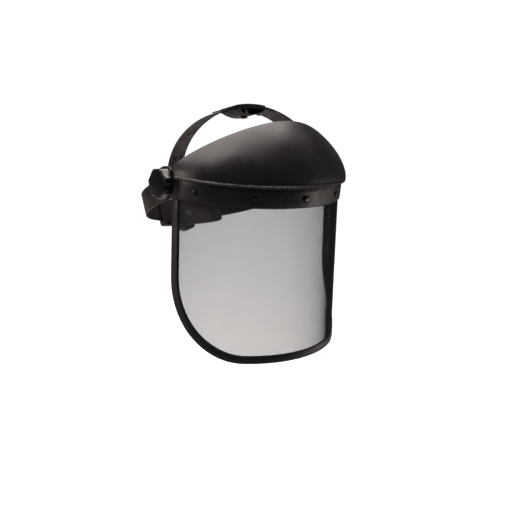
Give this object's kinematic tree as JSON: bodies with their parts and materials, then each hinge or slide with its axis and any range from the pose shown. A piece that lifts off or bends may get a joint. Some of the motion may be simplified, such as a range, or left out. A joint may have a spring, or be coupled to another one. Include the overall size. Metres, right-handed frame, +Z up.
{
  "type": "face shield",
  "caption": "Head-worn face shield: domed crown with a curved wire-mesh window, flipping up on two friction pivots of a ratchet headgear.",
  "frame": {"origin": "midway between the two tilt pivots, on the pivot line, inside the wearer's head space", "axes": "+X to the wearer's left along the pivot line, +Y to the back of the head, +Z up"},
  "size_m": [0.2648, 0.2491, 0.2665],
  "materials": {
    "crown_plastic": "satin",
    "band_plastic": "satin",
    "screen_wire": "satin",
    "binding_vinyl": "satin",
    "stud_plastic": "satin",
    "strap_plastic": "satin",
    "sweat_foam": "matte",
    "knob_plastic": "gloss",
    "zinc_steel": "satin",
    "insert_brass": "satin",
    "washer_fibre": "matte",
    "nylon_white": "satin"
  },
  "bodies": {
    "headgear": {"brow_band": "strap_plastic", "sweatband": "sweat_foam", "side_plate_right": "strap_plastic", "side_plate_left": "strap_plastic", "crown_strap_right": "strap_plastic", "crown_strap_left": "strap_plastic", "strap_keeper": "strap_plastic", "strap_peg": "knob_plastic", "nape_strap_right": "strap_plastic", "nape_strap_left": "strap_plastic", "strap_rivets": "stud_plastic", "ratchet_backing": "strap_plastic", "ratchet_cover": "strap_plastic", "cover_screws": "zinc_steel", "detent_ring": "nylon_white", "pivot_bolt_right": "zinc_steel", "pivot_bolt_left": "zinc_steel", "inner_washer_right": "washer_fibre", "inner_washer_left": "washer_fibre", "outer_washer_right": "washer_fibre", "outer_washer_left": "washer_fibre"},
    "crown": {"crown_shell": "crown_plastic", "window_band": "band_plastic", "mesh_window": "screen_wire", "window_binding": "binding_vinyl", "window_studs": "stud_plastic", "stud_clips": "nylon_white"},
    "tilt_knob_r": {"tilt_knob_right": "knob_plastic", "knob_insert_right": "insert_brass", "steel_washer_right": "zinc_steel"},
    "tilt_knob_l": {"tilt_knob_left": "knob_plastic", "knob_insert_left": "insert_brass", "steel_washer_left": "zinc_steel"},
    "nape_knob": {"ratchet_knob": "knob_plastic", "ratchet_pinion": "nylon_white", "knob_screw": "zinc_steel"}
  },
  "joints": [
    {"name": "crown_flip", "type": "hinge", "parent": "headgear", "child": "crown", "pos_m": [0, 0, 0], "axis": [-1, 0, 0], "range_deg": [0, 92]},
    {"name": "tilt_knob_right_turn", "type": "hinge", "parent": "headgear", "child": "tilt_knob_r", "pos_m": [-0.127, 0, 0], "axis": [-1, 0, 0], "range_deg": [0, 270]},
    {"name": "tilt_knob_left_turn", "type": "hinge", "parent": "headgear", "child": "tilt_knob_l", "pos_m": [0.127, 0, 0], "axis": [1, 0, 0], "range_deg": [0, 270]},
    {"name": "nape_knob_turn", "type": "hinge", "parent": "headgear", "child": "nape_knob", "pos_m": [0, 0.12051, -0.07137], "axis": [0, 0.8746, -0.4848], "continuous": true}
  ]
}
